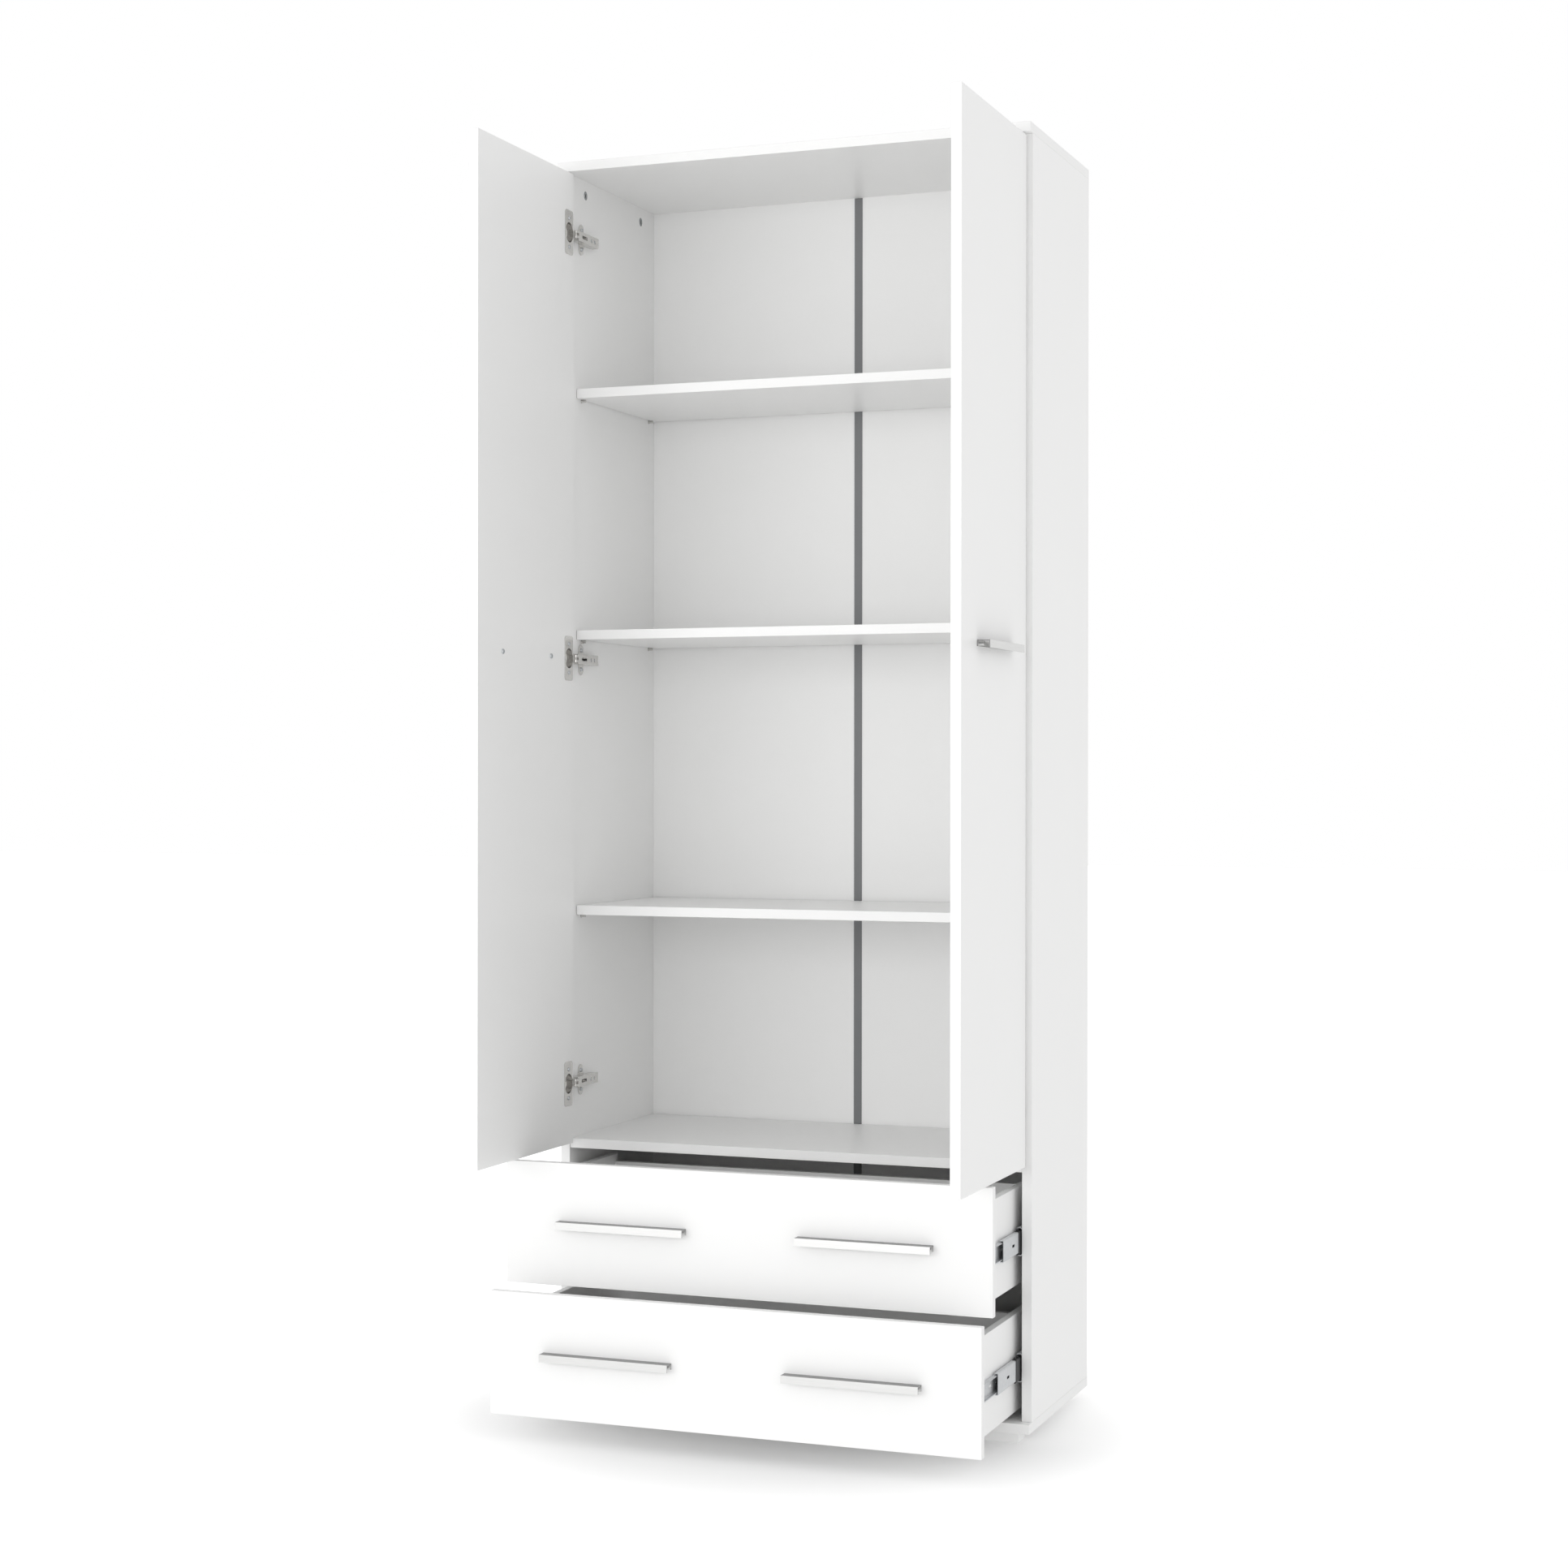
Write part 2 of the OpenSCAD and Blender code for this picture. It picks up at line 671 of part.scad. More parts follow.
// The left side of a drawer box, grooved for the bottom and bored for its cams and screws
module drawer_side(i) {
    z = box_z0[i] + box_side_z;
    color(melamine) difference() {
        block([-box_x, -front_gap, z], [-box_x + box_t, box_y1, z + box_h]);
        block([-box_x + box_t - groove_depth, -front_gap - eps, z + bottom_lift - slip],
              [-box_x + box_t + eps, box_y1 + eps, z + bottom_lift + thin_t + slip]);
        for (s = fixing_z(i)) translate([0, 0, s]) {
            translate([0, cam_end - front_gap, 0])
                rod_x(-box_x + box_cam_in, -box_x + box_t + eps, box_cam_r + bore_play);
            translate([-box_x + box_t / 2, 0, 0])
                rod_y(-front_gap - eps, cam_end - front_gap, bolt_r + bore_play);
            translate([0, box_y1 - box_t / 2, 0])
                rod_x(-box_x - eps, -box_x + box_t + eps, screw_r + bore_play);
        }
    }
}

module drawer_side_left(i) on_drawer(i) drawer_side(i);

module drawer_side_right(i) on_drawer(i) mirror([1, 0, 0]) drawer_side(i);

module drawer_back(i) {
    z = box_z0[i] + box_side_z;
    x = box_x - box_t;
    color(melamine) on_drawer(i) difference() {
        block([-x, box_y1 - box_t, z + bottom_lift + thin_t], [x, box_y1, z + box_h - box_back_drop]);
        both_sides() for (s = fixing_z(i))
            translate([0, box_y1 - box_t / 2, s])
                rod_x(-x - eps, -x + back_screw_in + eps, screw_r + bore_play);
    }
}

module drawer_bottom(i) {
    z = box_z0[i] + box_side_z + bottom_lift;
    x = box_x - box_t + groove_depth - 0.2;
    color(hardboard) on_drawer(i)
        block([-x, -front_gap - groove_depth + 0.2, z], [x, box_y1, z + thin_t]);
}

// Cams and bolts that hold the front, screws that hold the back, and screws that hold the slides
module drawer_fixings(i) {
    color(zinc) on_drawer(i) both_sides() for (y = slide_screw_y) translate([-box_x, y, slide_z[i]]) {
        rod_x(-rail_t, 0, screw_r);
        rod_x(-rail_t - slide_head_t, -rail_t, slide_head_r);
    }
    color(zinc) on_drawer(i) both_sides() for (s = fixing_z(i)) translate([0, 0, s]) {
        translate([0, cam_end - front_gap, 0]) difference() {
            rod_x(-box_x + box_cam_in, -box_x + box_t, box_cam_r);
            for (a = [45, 135]) rotate([a, 0, 0])
                block([-box_x + box_t - 1.5, -4, -0.7], [-box_x + box_t + eps, 4, 0.7]);
        }
        translate([-box_x + box_t / 2, 0, 0]) {
            rod_y(-front_gap - bolt_in, -front_gap, bolt_thread_r);
            rod_y(-front_gap, cam_end - front_gap - box_cam_r - bore_play, bolt_r);
        }
        translate([0, box_y1 - box_t / 2, 0]) {
            rod_x(-box_x, -box_x + box_t + back_screw_in, screw_r);
            rod_x(-box_x - 1.2, -box_x, 3.6);
        }
    }
}

module drawer_handle(i, side) on_drawer(i) drawer_handle_place(i, side) handle();

module drawer_handle_screws(i) {
    on_drawer(i) for (side = [-1, 1]) drawer_handle_place(i, side) handle_screws_pair();
}

// ---------- nodes ----------

side_left();
side_right();
top_panel();
bottom_panel();
mid_floor();
shelf(0);  // shelf_1
shelf(1);  // shelf_2
shelf(2);  // shelf_3
back_left();
back_right();
back_joint_strip();
plinth_front();
plinth_rear();
shelf_pins();
cam_locks();
cam_bolts();
dowels();
back_nails();
hinge_plates();
hinge_arms_left();
hinge_arms_right();
hinge_screws();
slide_outer(0);  // slide_outer_1
slide_outer(1);  // slide_outer_2
slide_screws();
door_left();
door_left_handle();
door_left_cups();
door_left_cup_screws();
door_left_handle_screws();
door_right();
door_right_handle();
door_right_cups();
door_right_cup_screws();
door_right_handle_screws();
drawer_front(0);  // drawer_1_front
drawer_side_left(0);  // drawer_1_side_left
drawer_side_right(0);  // drawer_1_side_right
drawer_back(0);  // drawer_1_back
drawer_bottom(0);  // drawer_1_bottom
drawer_handle(0, -1);  // drawer_1_handle_left
drawer_handle(0, 1);  // drawer_1_handle_right
drawer_handle_screws(0);  // drawer_1_handle_screws
slide_inner(0);  // drawer_1_slide_inner
drawer_fixings(0);  // drawer_1_fixings
drawer_front(1);  // drawer_2_front
drawer_side_left(1);  // drawer_2_side_left
drawer_side_right(1);  // drawer_2_side_right
drawer_back(1);  // drawer_2_back
drawer_bottom(1);  // drawer_2_bottom
drawer_handle(1, -1);  // drawer_2_handle_left
drawer_handle(1, 1);  // drawer_2_handle_right
drawer_handle_screws(1);  // drawer_2_handle_screws
slide_inner(1);  // drawer_2_slide_inner
drawer_fixings(1);  // drawer_2_fixings
slide_middle(0);  // slide_middle_1
ball_cage(0);  // ball_cage_1
slide_middle(1);  // slide_middle_2
ball_cage(1);  // ball_cage_2
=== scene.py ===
# %% [markdown]
# # A wardrobe with open doors and pulled drawers
# The wardrobe is flat-pack furniture: white melamine boards, hardboard back, steel fittings.
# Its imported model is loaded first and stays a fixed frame. Every visible piece is then
# modelled or finished around it, in metres, in the same place as its frame node. The places and
# sizes below are read from the frame where they can be, so the pieces keep to it.

# %% Load the frame
import math

import bmesh
import bpy
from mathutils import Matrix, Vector


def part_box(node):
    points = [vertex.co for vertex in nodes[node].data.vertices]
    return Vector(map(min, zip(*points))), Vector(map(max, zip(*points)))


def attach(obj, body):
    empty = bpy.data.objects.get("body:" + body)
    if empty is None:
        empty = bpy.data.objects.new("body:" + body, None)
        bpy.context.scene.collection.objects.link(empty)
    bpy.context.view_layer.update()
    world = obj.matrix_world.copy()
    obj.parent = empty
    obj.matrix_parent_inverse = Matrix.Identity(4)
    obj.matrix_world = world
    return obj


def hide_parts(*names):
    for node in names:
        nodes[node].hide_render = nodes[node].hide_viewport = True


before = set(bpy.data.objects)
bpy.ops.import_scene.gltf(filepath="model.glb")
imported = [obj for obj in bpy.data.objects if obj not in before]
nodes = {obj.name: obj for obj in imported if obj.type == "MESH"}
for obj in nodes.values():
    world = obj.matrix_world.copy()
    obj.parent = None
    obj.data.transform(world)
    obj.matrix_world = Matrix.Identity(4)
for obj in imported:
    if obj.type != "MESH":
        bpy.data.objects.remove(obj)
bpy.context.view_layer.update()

# %% [markdown]
# ## Camera
# The view is from the front right, at half the wardrobe's height, with a long lens. Turning the
# camera could centre the wardrobe too, but its level edges would then slope another way. A sideways
# shift frames it and leaves the perspective as it is.

# %% Camera
camera_data = bpy.data.cameras.new("camera")
camera = bpy.data.objects.new("camera", camera_data)
bpy.context.scene.collection.objects.link(camera)
camera.location = (1.50518, -4.65906, 1.04997)
camera.rotation_euler = (math.radians(90 - 0.170), math.radians(-0.04), math.radians(24.106))
camera_data.sensor_width = 36
camera_data.lens = 68.71
camera_data.shift_x = 0.2042
camera_data.clip_end = 60
bpy.context.scene.camera = camera
print("camera at", [round(v, 3) for v in camera.location], "lens", camera_data.lens)

# %% [markdown]
# ## Selecting
# Blender's operators act on what is selected. These helpers do what the hand does: clear the
# selection, go into edit mode, and pick faces or edges. A hand picks with the mouse. A script picks
# by where a face or an edge is, which keeps working when the mesh and its numbering change.

# %% Selecting
def only(piece):
    if bpy.context.mode != "OBJECT":
        bpy.ops.object.mode_set(mode="OBJECT")
    bpy.ops.object.select_all(action="DESELECT")
    piece.select_set(True)
    bpy.context.view_layer.objects.active = piece


def edit(piece):
    only(piece)
    bpy.ops.object.mode_set(mode="EDIT")


def leave():
    bpy.ops.object.mode_set(mode="OBJECT")


def pick_faces(piece, wanted):
    bpy.ops.mesh.select_mode(type="FACE")
    bpy.ops.mesh.select_all(action="DESELECT")
    mesh = bmesh.from_edit_mesh(piece.data)
    for face in mesh.faces:
        if wanted(face.calc_center_median(), face.normal):
            face.select_set(True)
    bmesh.update_edit_mesh(piece.data)


def pick_edges(piece, wanted):
    bpy.ops.mesh.select_mode(type="EDGE")
    bpy.ops.mesh.select_all(action="DESELECT")
    mesh = bmesh.from_edit_mesh(piece.data)
    for edge in mesh.edges:
        if wanted(edge.verts[0].co, edge.verts[1].co):
            edge.select_set(True)
    bmesh.update_edit_mesh(piece.data)


print("mode:", bpy.context.mode)

# %% [markdown]
# ## Modifiers and shading
# A modifier is applied as soon as it is set, so each piece ends as a plain mesh. Sheet metal and
# board edges are never quite sharp. A small bevel rounds them, and weighted normals then keep the
# flat faces flat to the eye, where plain smooth shading would make them look blown up.

# %% Modifiers and shading
def modify(piece, kind, **settings):
    only(piece)
    modifier = piece.modifiers.new(kind.lower(), kind)
    for name, value in settings.items():
        setattr(modifier, name, value)
    bpy.ops.object.modifier_apply(modifier=modifier.name)


SHARP_ANGLE = 40


def smooth(piece):
    only(piece)
    bpy.ops.object.shade_smooth_by_angle(angle=math.radians(SHARP_ANGLE))
    modify(piece, "WEIGHTED_NORMAL", weight=100, keep_sharp=True)


def soften(piece, width, segments=2, angle=SHARP_ANGLE):
    modify(piece, "BEVEL", width=width, segments=segments,
           limit_method="ANGLE", angle_limit=math.radians(angle))
    smooth(piece)


print("edges sharper than", SHARP_ANGLE, "degrees are bevelled")

# %% [markdown]
# ## Stock and cutting
# A workshop starts from square and round stock, and drills and saws it. A cube between two corners
# and a rod between two points are the stock here. A tool cuts its shape with a boolean modifier,
# which is the shortest way to a clean bore, and is thrown away after use.

# %% Stock and cutting
def settle(piece):
    only(piece)
    bpy.ops.object.transform_apply(location=True, rotation=True, scale=True)


def cube(name, low, high):
    bpy.ops.mesh.primitive_cube_add(size=1, location=(Vector(low) + Vector(high)) / 2)
    piece = bpy.context.active_object
    piece.name = name
    piece.scale = Vector(high) - Vector(low)
    settle(piece)
    return piece


def rod(name, start, end, radius, sides=32):
    start, end = Vector(start), Vector(end)
    bpy.ops.mesh.primitive_cylinder_add(vertices=sides, radius=radius, depth=(end - start).length)
    piece = bpy.context.active_object
    piece.name = name
    piece.rotation_mode = "QUATERNION"
    piece.rotation_quaternion = (end - start).to_track_quat("Z", "Y")
    piece.location = (start + end) / 2
    settle(piece)
    piece.rotation_mode = "XYZ"
    return piece


def cut(piece, tool, operation="DIFFERENCE"):
    modify(piece, "BOOLEAN", operation=operation, object=tool, solver="EXACT")
    bpy.data.objects.remove(tool)


print("stock: cube and rod")

# %% [markdown]
# ## Copies
# What repeats is modelled once. Each copy has a mesh of its own, with its place in the mesh, so its
# finish and its movement don't depend on the first. Left and right pieces are mirror images. A
# mirrored mesh is inside out, so its normals are worked out again. Last, a piece is told which body
# it moves with, and the frame nodes that it stands for are hidden.

# %% Copies and mounting
def copy_of(piece, name, offset=(0, 0, 0)):
    twin = piece.copy()
    twin.data = piece.data.copy()
    twin.name = name
    bpy.context.scene.collection.objects.link(twin)
    twin.location = offset
    settle(twin)
    return twin


def mirrored(piece, name):
    twin = copy_of(piece, name)
    twin.scale.x = -1
    settle(twin)
    edit(twin)
    bpy.ops.mesh.select_all(action="SELECT")
    bpy.ops.mesh.normals_make_consistent(inside=False)
    leave()
    return twin


def join(name, parts):
    only(parts[0])
    for part in parts:
        part.select_set(True)
    bpy.ops.object.join()
    parts[0].name = name
    return parts[0]


def mount(piece, body, stands_for):
    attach(piece, body)
    if stands_for:
        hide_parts(*stands_for)


# %% [markdown]
# ## Finishes
# Every finish is a node material on Object coordinates, so its grain has a real size in metres and
# stays put as a piece moves. A picture of each surface could be used instead, but it would need
# unwrapping and would blur close up. A small builder lays out the nodes that the finishes share: a
# large noise that varies the colour, and a fine one that varies the gloss and raises a relief.
# Cell and relief are lengths in metres, patch counts the patches in a metre, and stretch draws the
# pattern out along one axis, as brushing does.

# %% Material builder
def finish_material(name, light, dark, rough, relief, cell,
                    metallic=0.0, stretch=(1, 1, 1), patch=6.0):
    material = bpy.data.materials.new(name)
    material.use_nodes = True
    tree = material.node_tree
    surface = tree.nodes["Principled BSDF"]
    surface.inputs["Metallic"].default_value = metallic
    place = tree.nodes.new("ShaderNodeTexCoord")
    mapping = tree.nodes.new("ShaderNodeMapping")
    mapping.inputs["Scale"].default_value = stretch
    tree.links.new(place.outputs["Object"], mapping.inputs["Vector"])
    patches = tree.nodes.new("ShaderNodeTexNoise")
    patches.inputs["Scale"].default_value = patch
    patches.inputs["Detail"].default_value = 4
    grain = tree.nodes.new("ShaderNodeTexNoise")
    grain.inputs["Scale"].default_value = 1 / cell
    grain.inputs["Detail"].default_value = 3
    for noise in (patches, grain):
        tree.links.new(mapping.outputs["Vector"], noise.inputs["Vector"])
    colour = tree.nodes.new("ShaderNodeMix")
    colour.data_type = "RGBA"
    colour.inputs["A"].default_value = (*dark, 1)
    colour.inputs["B"].default_value = (*light, 1)
    tree.links.new(patches.outputs["Fac"], colour.inputs["Factor"])
    tree.links.new(colour.outputs["Result"], surface.inputs["Base Color"])
    gloss = tree.nodes.new("ShaderNodeMapRange")
    gloss.inputs["To Min"].default_value = rough[0]
    gloss.inputs["To Max"].default_value = rough[1]
    tree.links.new(grain.outputs["Fac"], gloss.inputs["Value"])
    tree.links.new(gloss.outputs["Result"], surface.inputs["Roughness"])
    bump = tree.nodes.new("ShaderNodeBump")
    bump.inputs["Strength"].default_value = 1.0
    bump.inputs["Distance"].default_value = relief
    tree.links.new(grain.outputs["Fac"], bump.inputs["Height"])
    tree.links.new(bump.outputs["Normal"], surface.inputs["Normal"])
    return material


print("finishes are built by name")

# %% [markdown]
# ## Finishes of the boards
# Melamine is a printed paper in resin, pressed on chipboard: nearly white, with a soft gloss and a
# faint orange-peel relief. The plastic edge band is smoother. The bores show raw chipboard. The back
# and the drawer bottoms are hardboard, lacquered white on its faces and brown at its cut edges.

# %% Board finishes
white_melamine = finish_material(
    "white_melamine", (0.96, 0.96, 0.955), (0.945, 0.945, 0.94), (0.34, 0.46), 0.00002, 0.0011)
edge_band = finish_material(
    "edge_band", (0.94, 0.94, 0.935), (0.925, 0.925, 0.92), (0.30, 0.38), 0.00001, 0.0006)
chipboard = finish_material(
    "chipboard_core", (0.62, 0.48, 0.33), (0.38, 0.27, 0.17), (0.8, 0.95), 0.0003, 0.0016, patch=420.0)
white_hardboard = finish_material(
    "white_hardboard", (0.955, 0.955, 0.95), (0.935, 0.935, 0.93), (0.42, 0.58), 0.00003, 0.0008)
raw_hardboard = finish_material(
    "raw_hardboard", (0.36, 0.23, 0.135), (0.25, 0.15, 0.085), (0.7, 0.9), 0.00015, 0.0012, patch=60.0)
print(len(bpy.data.materials), "materials so far")

# %% [markdown]
# ## Finishes of the fittings
# The handles are brushed aluminium, whose fine lines run along them. Their ends are duller where
# they were sawn, and their ends and top also get a darker grey that is painted shade. Hinges are
# bright nickel, screws bright zinc, and slides rolled zinc sheet, which is duller.
# Cams are cast zinc. Full metal in a white room mirrors white, so the tone comes from the colour
# of each metal and its roughness.

# %% Metal, plastic and wood finishes
satin_along_x = finish_material(
    "satin_aluminium_x", (0.80, 0.80, 0.79), (0.70, 0.70, 0.695), (0.28, 0.42), 0.00002, 0.0005,
    metallic=1.0, stretch=(0.02, 1, 1), patch=900.0)
satin_along_y = finish_material(
    "satin_aluminium_y", (0.80, 0.80, 0.79), (0.70, 0.70, 0.695), (0.28, 0.42), 0.00002, 0.0005,
    metallic=1.0, stretch=(1, 0.02, 1), patch=900.0)
# Darker aluminium for the handles' ends and top: duller where sawn, and darker still as painted shade
# standing in for the dark reflection of those faces.
sawn_and_painted_shade_aluminium = finish_material(
    "sawn_and_painted_shade_aluminium", (0.36, 0.36, 0.36), (0.27, 0.27, 0.27), (0.40, 0.6), 0.00002, 0.0004,
    metallic=1.0, patch=500.0)
nickel = finish_material(
    "nickel_plate", (0.72, 0.71, 0.69), (0.58, 0.57, 0.555), (0.16, 0.28), 0.00001, 0.0012,
    metallic=1.0, patch=240.0)
zinc = finish_material(
    "zinc_plate", (0.66, 0.68, 0.70), (0.50, 0.52, 0.545), (0.24, 0.40), 0.00002, 0.0010,
    metallic=1.0, patch=160.0)
rolled_zinc = finish_material(
    "rolled_zinc", (0.74, 0.75, 0.76), (0.60, 0.615, 0.63), (0.42, 0.58), 0.00002, 0.0010,
    metallic=0.8, patch=160.0)
cast_zinc = finish_material(
    "cast_zinc", (0.46, 0.47, 0.48), (0.33, 0.34, 0.35), (0.40, 0.55), 0.00005, 0.0006,
    metallic=1.0, patch=300.0)
beech = finish_material(
    "beech", (0.72, 0.53, 0.34), (0.56, 0.38, 0.22), (0.5, 0.65), 0.00004, 0.0008,
    stretch=(1, 1, 0.08), patch=350.0)
grey_plastic = finish_material(
    "grey_plastic", (0.195, 0.20, 0.205), (0.16, 0.165, 0.17), (0.38, 0.5), 0.00002, 0.0005)
black_plastic = finish_material(
    "black_plastic", (0.03, 0.03, 0.032), (0.018, 0.018, 0.02), (0.45, 0.6), 0.00003, 0.0005)
print(len(bpy.data.materials), "materials so far")

# %% [markdown]
# ## Boards
# A melamine board is a chipboard core with thin printed faces and a plastic band glued round its
# edges. The band's corners are scraped to a tiny radius, and that radius catches the light. Each
# board is a merged copy of its frame node, so it keeps the real bores and grooves, which a new cube
# would need cut again. Its outline edges are bevelled, and faces, band and the core inside the
# bores then get their own finishes.

# %% Merged copy of a node
def merged_copy(node, name):
    piece = bpy.data.objects.new(name, nodes[node].data.copy())
    bpy.context.scene.collection.objects.link(piece)
    piece.data.materials.clear()
    edit(piece)
    bpy.ops.mesh.select_all(action="SELECT")
    bpy.ops.mesh.remove_doubles(threshold=0.00001)
    bpy.ops.mesh.dissolve_limited(angle_limit=math.radians(0.5))
    leave()
    return piece


def assign(piece, index, wanted):
    pick_faces(piece, wanted)
    piece.active_material_index = index
    bpy.ops.object.material_slot_assign()


print("frame nodes:", len(nodes))

# %% [markdown]
# ## Telling faces, band and core apart
# The outline edges of a board lie where two sides of its box meet, so bores and grooves stay sharp.
# After the bevel, what faces along the thin axis is a printed face. What lies inside the box is the
# wall of a bore or a groove and shows the core. All the rest is edge band.

# %% Board maker
def board(node, body, face=white_melamine, band=edge_band, core=chipboard,
          radius=0.0007, finish="white_melamine"):
    piece = merged_copy(node, node + "_board")
    low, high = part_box(node)
    size = high - low
    thin = min(range(3), key=lambda axis: size[axis])
    tiny = 0.00002

    def sides_met(point):
        return {(axis, end) for axis in range(3) for end, limit in ((0, low), (1, high))
                if abs(point[axis] - limit[axis]) < tiny}

    edit(piece)
    pick_edges(piece, lambda a, b: len(sides_met(a) & sides_met(b)) > 1)
    bpy.ops.mesh.bevel(offset=radius, segments=3, clamp_overlap=True)
    for material in (band, face, core):
        piece.data.materials.append(material)
    piece.active_material_index = 0
    bpy.ops.mesh.select_all(action="SELECT")
    bpy.ops.object.material_slot_assign()
    assign(piece, 1, lambda centre, normal: abs(normal[thin]) > 0.99)
    inside = 2 * radius
    assign(piece, 2, lambda centre, normal: all(
        low[axis] + inside < centre[axis] < high[axis] - inside for axis in range(3)))
    leave()
    smooth(piece)
    mount(piece, body, [node])
    return piece


hardboard = (white_hardboard, raw_hardboard, raw_hardboard, 0.0003, "hardboard")
print("board edges are rounded to 0.7 mm, hardboard to 0.3 mm")

# %% [markdown]
# ## The boards of the wardrobe
# The carcass is ten chipboard boards: sides, top, bottom, middle floor, shelves and plinth rails,
# closed behind by two thin sheets. They differ only in size and bores, so one maker does them all,
# and all of them ride on the carcass.

# %% Carcass boards
for node in ("side_left", "side_right", "top_panel", "bottom_panel", "mid_floor",
             "shelf_1", "shelf_2", "shelf_3", "plinth_front", "plinth_rear"):
    board(node, "carcass")
for node in ("back_left", "back_right"):
    board(node, "carcass", *hardboard)

# %% [markdown]
# ## Doors and drawer boxes
# A door is one board with bores for its hinge cups. A drawer is a front, two sides and a back with a
# hardboard bottom, and its five pieces ride together.

# %% Doors and drawer boxes
for side in ("left", "right"):
    board(f"door_{side}", f"{side}_door")
for number in (1, 2):
    drawer = f"drawer_{number}"
    for part in ("front", "side_left", "side_right", "back"):
        board(f"{drawer}_{part}", drawer)
    board(f"{drawer}_bottom", drawer, *hardboard)

# %% [markdown]
# ## Where the fittings are
# A frame node can hold several equal solids, such as the three cups of a door's hinges. Their
# places could be typed in, but the frame knows them: a merged copy is separated into loose parts,
# and each part's box is noted, so the fittings follow the frame if it changes.

# %% Boxes of the separate solids in a node
def corners(piece):
    points = [vertex.co for vertex in piece.data.vertices]
    low = Vector(min(p[axis] for p in points) for axis in range(3))
    high = Vector(max(p[axis] for p in points) for axis in range(3))
    return low, high


def solids_of(node):
    whole = merged_copy(node, "whole")
    edit(whole)
    bpy.ops.mesh.separate(type="LOOSE")
    leave()
    parts = [piece for piece in bpy.context.selected_objects if piece.name.startswith("whole")]
    boxes = [corners(part) for part in parts]
    for part in parts:
        bpy.data.objects.remove(part)
    return sorted(boxes, key=lambda box: (round(box[0].x, 3), box[0].z, box[0].y))


def moved_to(piece, low):
    piece.location = Vector(low) - corners(piece)[0]
    settle(piece)
    return piece


print(len(solids_of("hinge_plates")), "hinge plates")

# %% [markdown]
# ## Handles
# A handle is a length of extruded aluminium: a flat top, a lip that the fingers pull, and a short
# leg against the front, with two bosses that its screws bite into. Its section could be drawn and
# swept, but folding it up from a plane by extruding two edges shows how it is built and keeps one
# even wall. Its corners are then broken. The sawn ends are duller than the satin lip, and the ends
# and top get a darker grey that is painted shade, standing in for the dark reflection on those faces.

# %% Handle
wall = 0.002
leg = 0.010
close_by = 0.0001
play = 0.00005
screw_radius = 0.002
boss_radius = 0.004
boss_length = 0.010
low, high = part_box("drawer_1_handle_left")
bpy.ops.mesh.primitive_plane_add(size=1, location=((low.x + high.x) / 2, (low.y + high.y) / 2, high.z))
handle = bpy.context.active_object
handle.name = "handle"
handle.scale = (high.x - low.x, high.y - low.y, 1)
settle(handle)
edit(handle)
for edge_y, drop in ((low.y, high.z - low.z), (high.y, leg)):
    pick_edges(handle, lambda a, b: all(abs(p.y - edge_y) < close_by for p in (a, b)))
    bpy.ops.mesh.extrude_region_move(TRANSFORM_OT_translate={"value": (0, 0, -drop)})
leave()
modify(handle, "SOLIDIFY", thickness=wall, offset=-1, use_even_offset=True)
screw_holes = [(box_low + box_high) / 2 for box_low, box_high in solids_of("drawer_1_handle_screws")][:2]
for hole in screw_holes:
    start = (hole.x, high.y - boss_length, hole.z)
    cut(handle, rod("boss", start, (hole.x, high.y - 0.0002, hole.z), boss_radius), "UNION")
for hole in screw_holes:
    start = (hole.x, high.y - boss_length + 0.001, hole.z)
    cut(handle, rod("bore", start, (hole.x, high.y + 0.001, hole.z), screw_radius + play))
soften(handle, 0.0005, 3)
for material in (satin_along_x, sawn_and_painted_shade_aluminium):
    handle.data.materials.append(material)
edit(handle)
# Ends and top get the darker aluminium: duller sawn ends, plus painted shade on the ends and the top.
assign(handle, 1, lambda centre, normal: abs(normal.x) > 0.9 or normal.z > 0.9)
leave()
print("handle", len(handle.data.polygons), "faces")

# %% [markdown]
# ## Six handles
# The drawers have two handles each and the doors one, all of one kind. The copies for the doors are
# turned by a quarter, because the doors stand open, and their brushing turns with them.

# %% Six handles
for node, body, turn in (
        ("drawer_1_handle_left", "drawer_1", 0), ("drawer_1_handle_right", "drawer_1", 0),
        ("drawer_2_handle_left", "drawer_2", 0), ("drawer_2_handle_right", "drawer_2", 0),
        ("door_left_handle", "left_door", -90), ("door_right_handle", "right_door", 90)):
    piece = copy_of(handle, node + "_bar")
    piece.rotation_euler.z = math.radians(turn)
    settle(piece)
    moved_to(piece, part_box(node)[0])
    if turn:
        piece.data.materials[0] = satin_along_y
    mount(piece, body, [node])
bpy.data.objects.remove(handle)

# %% [markdown]
# ## Screws
# The visible screws have a low domed head with a cross recess. A sphere could be flattened for the
# dome, but a cylinder whose rim is bevelled keeps the flat seat that a pan head has. The thread
# is hidden in the wood, so the shank stays plain. Copies are set where the frame has its screws.

# %% Screw
def screw(head_radius, head_height, shank_radius, length):
    head = rod("screw", (0, 0, 0), (0, 0, head_height), head_radius, 24)
    edit(head)
    pick_edges(head, lambda a, b: a.z > head_height * 0.9 and b.z > head_height * 0.9)
    bpy.ops.mesh.bevel(offset=head_height * 0.7, segments=4, clamp_overlap=True)
    leave()
    cut(head, rod("shank", (0, 0, -length), (0, 0, head_height * 0.3), shank_radius, 16), "UNION")
    arm_length, arm_width = head_radius * 0.55, head_radius * 0.12
    recess_floor = head_height * 0.45
    for x, y in ((arm_length, arm_width), (arm_width, arm_length)):
        cut(head, cube("recess", (-x, -y, recess_floor), (x, y, head_height * 1.5)))
    smooth(head)
    head.data.materials.append(zinc)
    return head


